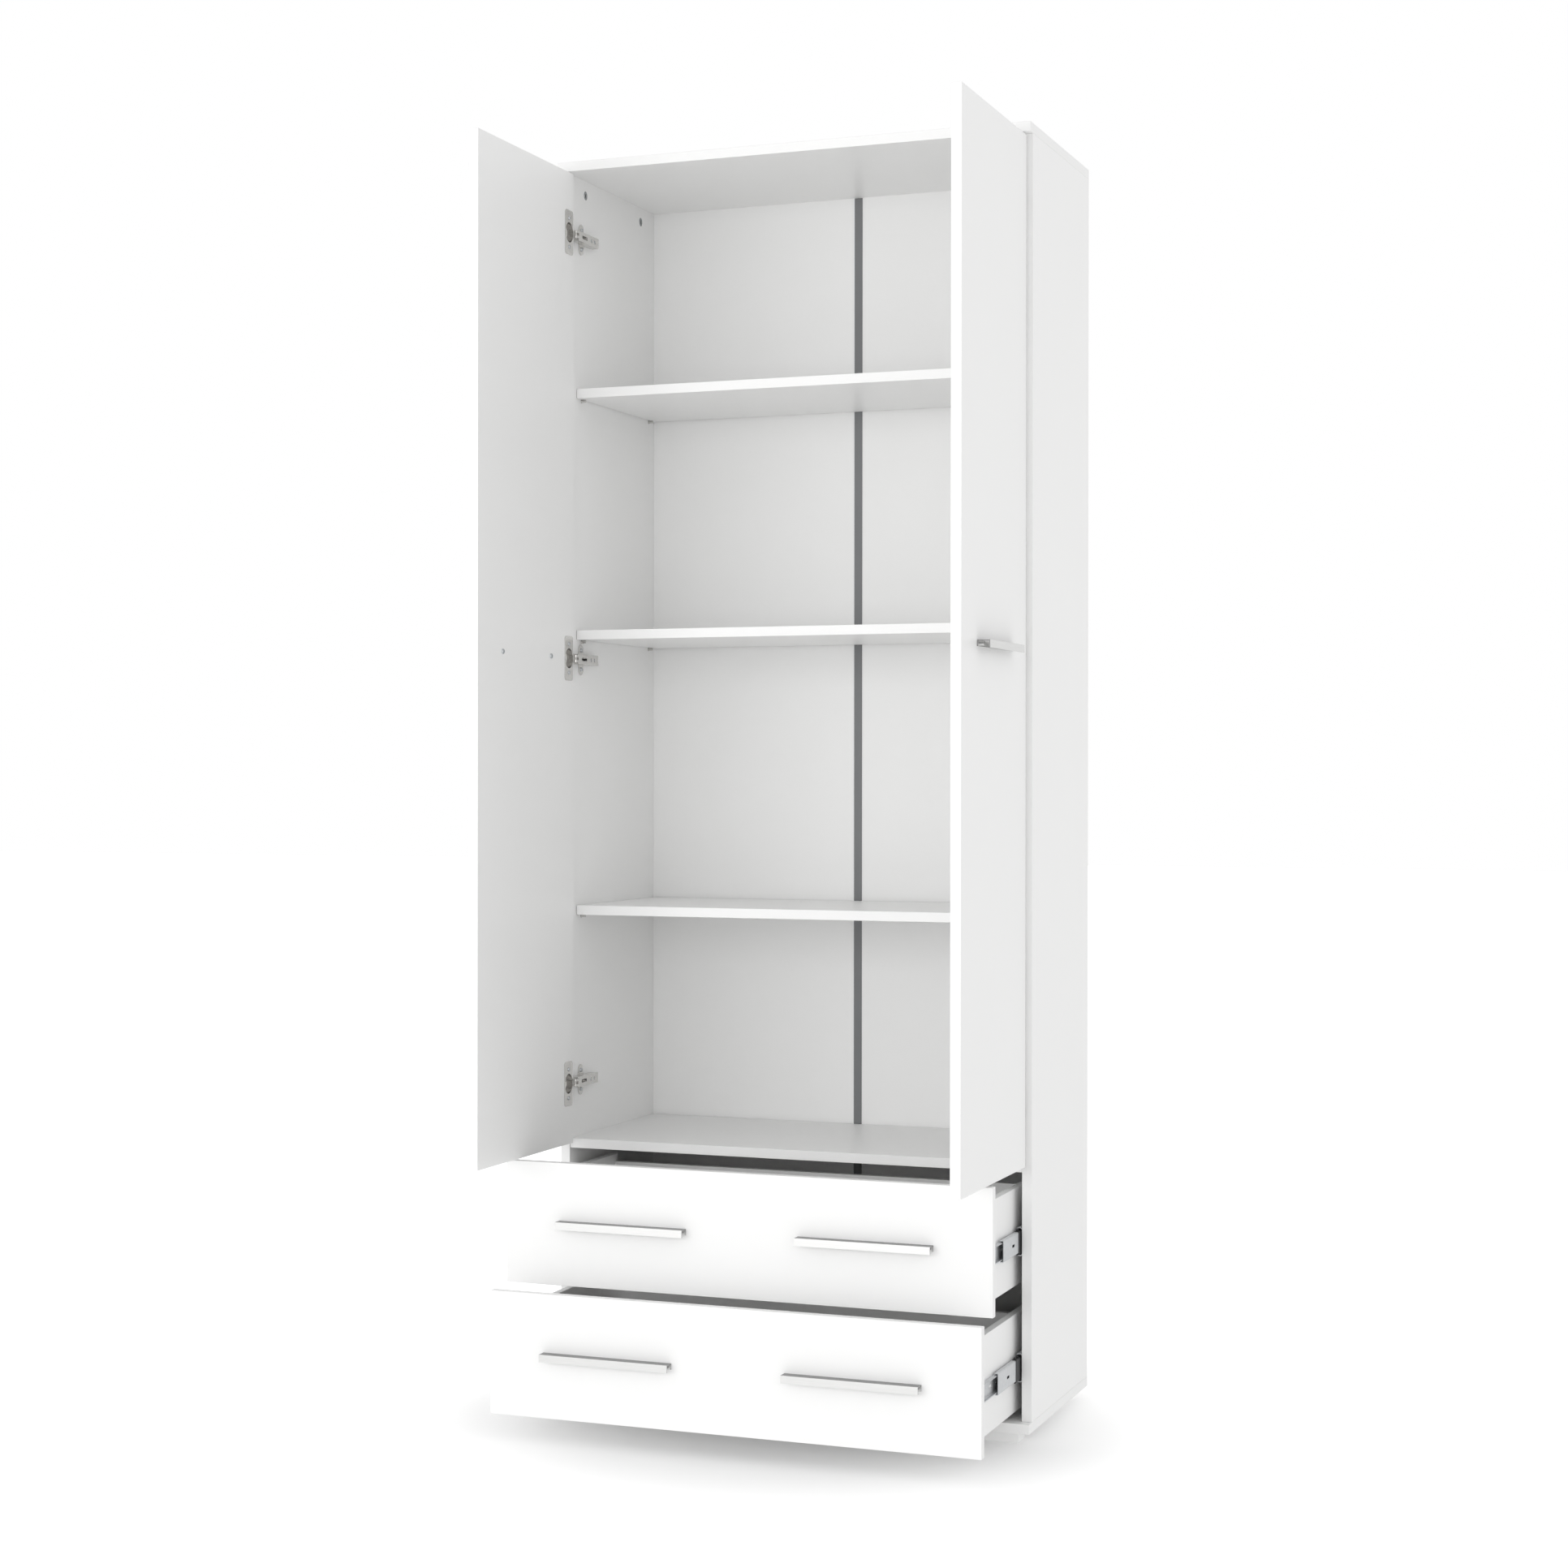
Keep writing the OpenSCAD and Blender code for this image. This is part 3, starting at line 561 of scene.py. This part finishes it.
def screws_at(node, body, model, facing, head_height):
    facing = Vector(facing)
    parts = []
    for box_low, box_high in solids_of(node):
        part = copy_of(model, "part")
        part.rotation_mode = "QUATERNION"
        part.rotation_quaternion = facing.to_track_quat("Z", "Y")
        settle(part)
        part.rotation_mode = "XYZ"
        half = (box_high - box_low) / 2
        to_top = facing * abs(facing.dot(half))
        part.location = (box_low + box_high) / 2 + to_top - facing * head_height
        settle(part)
        parts.append(part)
    mount(join(node + "_set", parts), body, [node])


print("a screw is made once for each size")

# %% [markdown]
# ## Screws of the handles and cups
# The handles are held from the inside of their fronts by long screws, two each. Short ones hold the
# flanges of the hinge cups, two for each cup. On the drawers the heads face the rear of the
# wardrobe, and on the open doors they face each other.

# %% Screws of the handles and cups
handle_head = 0.0024
handle_screw = screw(0.0042, handle_head, screw_radius, 0.0244)
for node, body, facing in (
        ("drawer_1_handle_screws", "drawer_1", (0, 1, 0)),
        ("drawer_2_handle_screws", "drawer_2", (0, 1, 0)),
        ("door_left_handle_screws", "left_door", (1, 0, 0)),
        ("door_right_handle_screws", "right_door", (-1, 0, 0))):
    screws_at(node, body, handle_screw, facing, handle_head)
bpy.data.objects.remove(handle_screw)
cup_head = 0.0016
cup_screw = screw(0.0034, cup_head, 0.00175, 0.0115)
for node, body, facing in (
        ("door_left_cup_screws", "left_door", (1, 0, 0)),
        ("door_right_cup_screws", "right_door", (-1, 0, 0))):
    screws_at(node, body, cup_screw, facing, cup_head)
bpy.data.objects.remove(cup_screw)

# %% [markdown]
# ## Hinge cups
# A hinge cup has a round bowl with a rounded bottom edge, and a flange with rounded corners. Both
# start from plain stock whose edges are bevelled: a rod along x with one rounded end, and a plate
# whose four short edges are rounded.

# %% Rounded stock
def rounded_rod(name, start, end, radius, edge, rounded_x):
    piece = rod(name, start, end, radius, 48)
    edit(piece)
    pick_edges(piece, lambda a, b: all(abs(p.x - rounded_x) < close_by for p in (a, b)))
    bpy.ops.mesh.bevel(offset=edge, segments=5)
    leave()
    return piece


def rounded_plate(name, low, high, edge):
    piece = cube(name, low, high)
    edit(piece)
    pick_edges(piece, lambda a, b: abs(a.x - b.x) > close_by)
    bpy.ops.mesh.bevel(offset=edge, segments=6)
    leave()
    return piece


cup_boxes = solids_of("door_left_cups")
print("cups at", [round(box[0].z, 3) for box in cup_boxes])

# %% [markdown]
# ## One cup
# The real cup is pressed from one sheet: a bowl that fills its bore in the door, and a flange that
# two screws hold. A spun profile would give the bowl but not the flange, so bowl and flange are
# two solids that are united, and a second, smaller rounded rod then cuts the inside.

# %% Hinge cup
cup_low, cup_high = cup_boxes[0]
flange = 0.0012
flange_corner = 0.006
bowl_radius = 0.01745
bowl_wall = 0.0009
bowl_lap = 0.0005
over = 0.001
centre_y = (cup_low.y + cup_high.y) / 2
centre_z = (cup_low.z + cup_high.z) / 2
face_x = cup_high.x - flange
floor_x = cup_low.x + bowl_wall
cup = rounded_plate("cup", (face_x, cup_low.y, cup_low.z), cup_high, flange_corner)
bowl_end = (face_x + bowl_lap, centre_y, centre_z)
bowl = rounded_rod("bowl", (cup_low.x, centre_y, centre_z), bowl_end, bowl_radius, 0.003, cup_low.x)
cut(cup, bowl, "UNION")
mouth = (cup_high.x + 2 * over, centre_y, centre_z)
inner_radius = bowl_radius - bowl_wall
hollow = rounded_rod("hollow", (floor_x, centre_y, centre_z), mouth, inner_radius, 0.0025, floor_x)
cut(cup, hollow)
for box_low, box_high in solids_of("door_left_cup_screws"):
    y, z = (box_low.y + box_high.y) / 2, (box_low.z + box_high.z) / 2
    if cup_low.z < z < cup_high.z:
        cut(cup, rod("bore", (face_x - over, y, z), (cup_high.x + over, y, z), 0.0018))
soften(cup, 0.0003, 2)
cup.data.materials.append(nickel)
print("cup", len(cup.data.polygons), "faces")

# %% [markdown]
# ## Six cups
# Each door has three cups at the heights of its hinges. The left door's three are copies of one,
# joined into one piece because they move together, and the right door's are their mirror image.

# %% Six cups
cups = [copy_of(cup, "cup_copy", (0, 0, box[0].z - cup_low.z)) for box in cup_boxes]
cups_left = join("door_left_cups_drawn", cups)
cups_right = mirrored(cups_left, "door_right_cups_drawn")
mount(cups_left, "left_door", ["door_left_cups"])
mount(cups_right, "right_door", ["door_right_cups"])
bpy.data.objects.remove(cup)

# %% [markdown]
# ## Screws around one hinge
# A hinge has two screws through the wings of its plate, and two adjusting screws in its arm. The
# frame keeps all of them in one node. They are told apart by their height: the adjusting screws sit
# in the middle of the plate, and the wing screws above and below it.

# %% Boxes of one hinge
plate_boxes = [box for box in solids_of("hinge_plates") if box[0].x < 0]
plate_low, plate_high = plate_boxes[0]
mid_z = (plate_low.z + plate_high.z) / 2
screw_boxes = [box for box in solids_of("hinge_screws")
               if box[0].x < 0 and plate_low.z < box[0].z < plate_high.z]
wing_screws = [box for box in screw_boxes if abs((box[0].z + box[1].z) / 2 - mid_z) > 0.005]
adjusters = [box for box in screw_boxes if box not in wing_screws]
wing_y = (wing_screws[0][0].y + wing_screws[0][1].y) / 2
wing_z = [(box_low.z + box_high.z) / 2 for box_low, box_high in wing_screws]
print(len(wing_screws), "wing screws and", len(adjusters), "adjusting screws in a hinge")

# %% [markdown]
# ## Mounting plate
# The plate is stamped from thick sheet: a square middle, a tail that runs on under the arm, and two
# round wings with a screw in each. Stamped outlines are made well by uniting plates and discs,
# since each stays at its own place from the frame.

# %% Mounting plate
half_arm = 0.0085
corner = 0.003
wing_radius = 0.0098
half_middle = Vector((0, 0.011, 0.013))
centre_low = Vector((plate_low.x, wing_y, mid_z))
centre_high = Vector((plate_high.x, wing_y, mid_z))
plate = rounded_plate("plate", centre_low - half_middle, centre_high + half_middle, corner)
tail_low = (plate_low.x, plate_low.y, mid_z - half_arm)
tail_high = (plate_high.x, plate_high.y, mid_z + half_arm)
cut(plate, rounded_plate("tail", tail_low, tail_high, corner), "UNION")
for z in wing_z:
    cut(plate, rod("wing", (plate_low.x, wing_y, z), (plate_high.x, wing_y, z), wing_radius, 48), "UNION")
for z in wing_z:
    start = (plate_low.x - over, wing_y, z)
    cut(plate, rod("bore", start, (plate_high.x + over, wing_y, z), screw_radius + play))
soften(plate, 0.0004, 2)
plate.data.materials.append(nickel)
print("plate", len(plate.data.polygons), "faces")

# %% [markdown]
# ## Arm
# The arm is a channel folded from sheet, open towards the plate and behind, with a slot and two
# adjusting screws in its top. It starts as a cube that loses two faces, and Solidify gives the rest
# its wall, which is quicker than cutting the inside out.

# %% Arm
arm_boxes = solids_of("hinge_arms_left")
arm_low, arm_high = arm_boxes[0]
arm_mid = (arm_low.z + arm_high.z) / 2
arm_top = adjusters[0][1].x + 0.0004
arm_wall = 0.0014
nose_y = 0.003
slot_y = (nose_y + 0.016, nose_y + 0.040)
slot_half = 0.0025
tool_low, tool_high = arm_top - 0.004, arm_top + 0.002
arm = cube("arm", (plate_high.x, nose_y, arm_mid - half_arm), (arm_top, arm_high.y, arm_mid + half_arm))
edit(arm)
pick_faces(arm, lambda centre, normal: normal.x < -0.9 or normal.y > 0.9)
bpy.ops.mesh.delete(type="FACE")
pick_faces(arm, lambda centre, normal: normal.x > 0.9)
bpy.ops.mesh.subdivide(number_cuts=3)
leave()
modify(arm, "SOLIDIFY", thickness=arm_wall, offset=-1, use_even_offset=True)
for box_low, box_high in adjusters:
    y = (box_low.y + box_high.y) / 2
    cut(arm, rod("bore", (tool_low, y, arm_mid), (tool_high, y, arm_mid), 0.003 + play))
cut(arm, rounded_plate("slot", (tool_low, slot_y[0], arm_mid - slot_half),
                       (tool_high, slot_y[1], arm_mid + slot_half), slot_half - 0.0001))
soften(arm, 0.0006, 3)
print("arm", len(arm.data.polygons), "faces")

# %% [markdown]
# ## Link
# Two tines with a rivet between them join the arm to the cup. They are one bar with rounded nose
# corners, split by a gap that stops short of the arm. The rivet's ends stand a little proud.

# %% Link
link_depth = 0.0055
link_half = 0.006
gap_half = 0.0022
gap_end = -0.003
link_low = Vector((arm_high.x - link_depth, arm_low.y, arm_mid - link_half))
link_high = Vector((arm_high.x, nose_y + 0.0008, arm_mid + link_half))
link = cube("link", link_low, link_high)
edit(link)
pick_edges(link, lambda a, b: abs(a.z - b.z) > 0.001 and a.y < link_low.y + 0.001)
bpy.ops.mesh.bevel(offset=0.0026, segments=5)
leave()
cut(link, cube("gap", (link_low.x - over, link_low.y - over, arm_mid - gap_half),
               (link_high.x + over, gap_end, arm_mid + gap_half)))
soften(link, 0.0003, 2)
rivet_y = link_low.y + 0.0028
rivet_x = (link_low.x + link_high.x) / 2
rivet_half = link_half + 0.0004
rivet = rod("rivet", (rivet_x, rivet_y, arm_mid - rivet_half),
            (rivet_x, rivet_y, arm_mid + rivet_half), 0.0014, 20)
arm = join("arm", [arm, link, rivet])
arm.data.materials.clear()
arm.data.materials.append(nickel)
print("arm and link", len(arm.data.polygons), "faces")

# %% [markdown]
# ## Screws of the hinge
# The wing screws clamp the plate to the side, so their heads stand on it. The adjusting screws sit
# in the bores of the arm and set the gap of the door. All face the middle of the wardrobe.

# %% Screws of the hinge
wing_head = 0.0020
adjuster_head = 0.0016
wing_screw = screw(0.0036, wing_head, screw_radius, 0.002)
adjuster = screw(0.0030, adjuster_head, 0.0028, 0.0086)
hinge_parts = []
for boxes, model, height in ((wing_screws, wing_screw, wing_head), (adjusters, adjuster, adjuster_head)):
    for box_low, box_high in boxes:
        part = copy_of(model, "part")
        part.rotation_euler.y = math.radians(90)
        settle(part)
        middle = (box_low + box_high) / 2
        part.location = (box_high.x - height, middle.y, middle.z)
        settle(part)
        hinge_parts.append(part)
hinge_screw_set = join("hinge_screw_set", hinge_parts)
for model in (wing_screw, adjuster):
    bpy.data.objects.remove(model)
print(len(hinge_parts), "screws in a hinge")

# %% [markdown]
# ## Six hinges
# The left side has three hinges, at the heights of the cups. Their plates, arms and screws are
# copied up the side, and the right side's are mirror images. All of them stay with the carcass.

# %% Six plates, arms and sets of screws
steps = [box[0].z - plate_low.z for box in plate_boxes]
for model, name, node, finish in (
        (plate, "hinge_plates_drawn", ["hinge_plates"], "nickel"),
        (arm, "hinge_arms_drawn", ["hinge_arms_left", "hinge_arms_right"], "nickel"),
        (hinge_screw_set, "hinge_screws_drawn", ["hinge_screws"], "zinc")):
    left = join(name + "_left", [copy_of(model, "copy", (0, 0, step)) for step in steps])
    right = mirrored(left, name + "_right")
    mount(left, "carcass", node[:1])
    mount(right, "carcass", node[-1:])
    bpy.data.objects.remove(model)

# %% [markdown]
# ## Drawer slides
# A slide has three rolled members: one on the side, one on the drawer box and one between them.
# Rolling turns a flat strip up at both edges. Each member starts as the plane of its web, and its
# long edges are extruded into a flange with a curled edge, which makes the ball track. The sheet
# then gets its thickness. Cutting channels from bars would leave their corners square. The opens
# value is 1 where the channel opens to the right, and -1 where it opens to the left.

# %% Rolled member
sheet = 0.0012
curl = 0.0008


def member(name, low, high, opens, bend):
    web_x = low.x if opens > 0 else high.x
    middle = (web_x, (low.y + high.y) / 2, (low.z + high.z) / 2)
    bpy.ops.mesh.primitive_plane_add(size=1, location=middle, rotation=(0, -opens * math.pi / 2, 0))
    piece = bpy.context.active_object
    piece.name = name
    piece.scale = (high.z - low.z - 2 * bend, high.y - low.y, 1)
    settle(piece)
    edit(piece)
    reach = high.x - low.x
    at_edge = close_by / 2
    for upward in (1, -1):
        x = web_x
        z = high.z - bend if upward > 0 else low.z + bend
        for run, rise in ((bend, bend), (reach - bend - 2 * curl, 0), (2 * curl, -curl)):
            pick_edges(piece, lambda a, b: all(
                abs(p.x - x) < at_edge and abs(p.z - z) < at_edge for p in (a, b)))
            step = (opens * run, 0, upward * rise)
            bpy.ops.mesh.extrude_region_move(TRANSFORM_OT_translate={"value": step})
            x += step[0]
            z += step[2]
    leave()
    modify(piece, "SOLIDIFY", thickness=sheet, offset=-1, use_even_offset=True)
    piece.data.materials.append(rolled_zinc)
    return piece


print("rolled from", sheet * 1000, "mm sheet")

# %% [markdown]
# ## Bores and slots of the slides
# Round bores take the slide's screws, at the places that the frame has for them. Two oblong slots
# near the front let a fitter shift the slide before the last screw goes in. Both are punched in the
# real sheet, and are cut right through the web here.

# %% Bores and slots
slot_length = 0.016
slot_width = 0.0044


def drill(piece, boxes, radius):
    for box_low, box_high in boxes:
        reach = Vector((0.004, 0, 0))
        middle = (box_low + box_high) / 2
        cut(piece, rod("bore", middle - reach, middle + reach, radius, 20))


def slots(piece, low, high, first, pitch, count):
    mid_z = (low.z + high.z) / 2
    for k in range(count):
        start = (low.x - 0.01, low.y + first + k * pitch, mid_z - slot_width / 2)
        end = (high.x + 0.01, start[1] + slot_length, mid_z + slot_width / 2)
        cut(piece, rounded_plate("slot", start, end, slot_width / 2 - 0.0001))


print("slots of", slot_length * 1000, "by", slot_width * 1000, "mm")

# %% [markdown]
# ## Twelve members
# Each drawer has a slide on both sides. The outer member stays with the carcass, the inner one goes
# with the drawer, and the middle one moves half as far, so each rides on a body of its own. The
# channels nest: the outer and middle ones open towards the drawer, and the inner one towards the
# side.

# %% Three members on each side of each drawer
for number in (1, 2):
    outer_low, outer_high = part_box(f"slide_outer_{number}")
    side_screws = [box for box in solids_of("slide_screws")
                   if outer_low.z < box[0].z < outer_high.z and box[0].x < 0]
    box_screws = [box for box in solids_of(f"drawer_{number}_fixings")
                  if box[1].x - box[0].x < 0.0025 and box[0].x < 0]
    for node, body, opens, bend, holes in (
            (f"slide_outer_{number}", "carcass", 1, 0.0025, side_screws),
            (f"slide_middle_{number}", f"slide_middle_{number}", 1, 0.0014, []),
            (f"drawer_{number}_slide_inner", f"drawer_{number}", -1, 0.0018, box_screws)):
        low, high = [box for box in solids_of(node) if box[0].x < 0][0]
        left = member(node + "_rolled_left", low, high, opens, bend)
        drill(left, holes, screw_radius + play)
        slots(left, low, high, 0.055, 0.064, 2)
        soften(left, 0.0002, 1, 60)
        right = mirrored(left, node + "_rolled_right")
        for piece in (left, right):
            mount(piece, body, [node])

# %% [markdown]
# ## Fittings that keep their frame shape
# The back's joint strip, pins, cams, bolts, dowels, nails, ball retainers and the fixings of the
# slides and drawer boxes are right as they are, so modelling them again would add nothing. They get
# the finish of their metal, wood or plastic.

# %% Finishes of the plain fittings
for node, material in {
    "back_joint_strip": grey_plastic, "shelf_pins": nickel, "cam_locks": cast_zinc, "cam_bolts": zinc,
    "dowels": beech, "back_nails": zinc, "slide_screws": zinc,
    "ball_cage_1": black_plastic, "ball_cage_2": black_plastic,
    "drawer_1_fixings": cast_zinc, "drawer_2_fixings": cast_zinc,
}.items():
    nodes[node].data.materials.clear()
    nodes[node].data.materials.append(material)
unfinished = [node for node, piece in nodes.items()
              if not piece.hide_render and len(piece.data.materials) != 1]
print("frame nodes still to finish:", unfinished)

# %% [markdown]
# ## Floor
# The floor is a plain pale plane. A plain floor under soft light would end in a grey band against
# the white surroundings. This one glows more with the distance from the wardrobe, so it runs into
# them. Close to the wardrobe, the glow that the camera sees drops to nothing. This is a painted
# shadow round the base, added to the soft shadow that the light casts. The glow that the camera
# sees is set apart from the even one that lights the wardrobe from below.

# %% Floor
bounce = 0.19
# Painted shadow and painted glow: the glow seen by the camera is -0.19 near the wardrobe, which cancels
# the even bounce and darkens the floor there, and it rises to 0.7 far off, which fades the floor into
# white.
glow_and_painted_shadow_range = (("From Min", 0.15), ("From Max", 1.1), ("To Min", -0.19), ("To Max", 0.7))
bpy.ops.mesh.primitive_plane_add(size=60, location=(0, 0, 0))
floor = bpy.context.active_object
floor.name = "floor"
pale = bpy.data.materials.new("pale_floor")
pale.use_nodes = True
paint = pale.node_tree
pale_surface = paint.nodes["Principled BSDF"]
pale_surface.inputs["Base Color"].default_value = (0.86, 0.86, 0.86, 1)
pale_surface.inputs["Roughness"].default_value = 0.8
pale_surface.inputs["Emission Color"].default_value = (1, 1, 1, 1)
where = paint.nodes.new("ShaderNodeTexCoord")
away = paint.nodes.new("ShaderNodeVectorMath")
away.operation = "LENGTH"
glow = paint.nodes.new("ShaderNodeMapRange")
glow.interpolation_type = "SMOOTHSTEP"
for socket, value in glow_and_painted_shadow_range:
    glow.inputs[socket].default_value = value
paint.links.new(where.outputs["Object"], away.inputs[0])
paint.links.new(away.outputs["Value"], glow.inputs["Value"])
looked_at = paint.nodes.new("ShaderNodeLightPath")
shown_glow = paint.nodes.new("ShaderNodeMath")
shown_glow.operation = "MULTIPLY_ADD"
shown_glow.inputs[2].default_value = bounce
paint.links.new(glow.outputs["Result"], shown_glow.inputs[0])
paint.links.new(looked_at.outputs["Is Camera Ray"], shown_glow.inputs[1])
paint.links.new(shown_glow.outputs["Value"], pale_surface.inputs["Emission Strength"])
floor.data.materials.append(pale)
print("floor bounce", bounce)

# %% [markdown]
# ## Sky
# Plain white surroundings fill the shadows evenly, as a room of white screens does. Their strength
# leans a little: brighter from the right, and brighter from below than from above, which keeps the
# shelves' undersides light. The camera itself sees pure white behind the wardrobe.

# %% Sky
sky_level = 0.925
sky_lean = (0.03, 0.0, -0.24)
world = bpy.data.worlds.new("sky")
bpy.context.scene.world = world
world.use_nodes = True
sky = world.node_tree
background = sky.nodes["Background"]
direction = sky.nodes.new("ShaderNodeTexCoord")
lean = sky.nodes.new("ShaderNodeVectorMath")
lean.operation = "DOT_PRODUCT"
lean.inputs[1].default_value = sky_lean
level = sky.nodes.new("ShaderNodeMath")
level.operation = "ADD"
level.inputs[1].default_value = sky_level
sky.links.new(direction.outputs["Generated"], lean.inputs[0])
sky.links.new(lean.outputs["Value"], level.inputs[0])
sky.links.new(level.outputs["Value"], background.inputs["Strength"])
background.inputs["Color"].default_value = (1, 1, 1, 1)
white = sky.nodes.new("ShaderNodeBackground")
white.inputs["Color"].default_value = (1, 1, 1, 1)
seen = sky.nodes.new("ShaderNodeLightPath")
either = sky.nodes.new("ShaderNodeMixShader")
sky.links.new(seen.outputs["Is Camera Ray"], either.inputs["Fac"])
sky.links.new(background.outputs["Background"], either.inputs[1])
sky.links.new(white.outputs["Background"], either.inputs[2])
sky.links.new(either.outputs["Shader"], sky.nodes["World Output"].inputs["Surface"])
print("sky level", sky_level)

# %% [markdown]
# ## Lamp
# One lamp in front, a little to the left of the wardrobe, reaches into the compartments, where the
# sky's light fades. It is 4 m wide and 2 m high, because a small lamp would cast shadows with hard
# edges. The view transform is the plain one, which keeps white boards white.

# %% Lamp
lamp_data = bpy.data.lights.new("front_lamp", "AREA")
lamp_data.shape = "RECTANGLE"
lamp_data.size = 4.0
lamp_data.size_y = 2.0
lamp_data.energy = 70
lamp = bpy.data.objects.new("front_lamp", lamp_data)
bpy.context.scene.collection.objects.link(lamp)
lamp.location = (-0.8, -5.5, 1.4)
lamp.rotation_mode = "QUATERNION"
aim = Vector((0, 0, 1.0))
lamp.rotation_quaternion = (aim - lamp.location).to_track_quat("-Z", "Y")
bpy.context.scene.view_settings.view_transform = "Standard"
print("lamp", lamp_data.energy, "W")

# %% Finish
if bpy.context.mode != "OBJECT":
    bpy.ops.object.mode_set(mode="OBJECT")
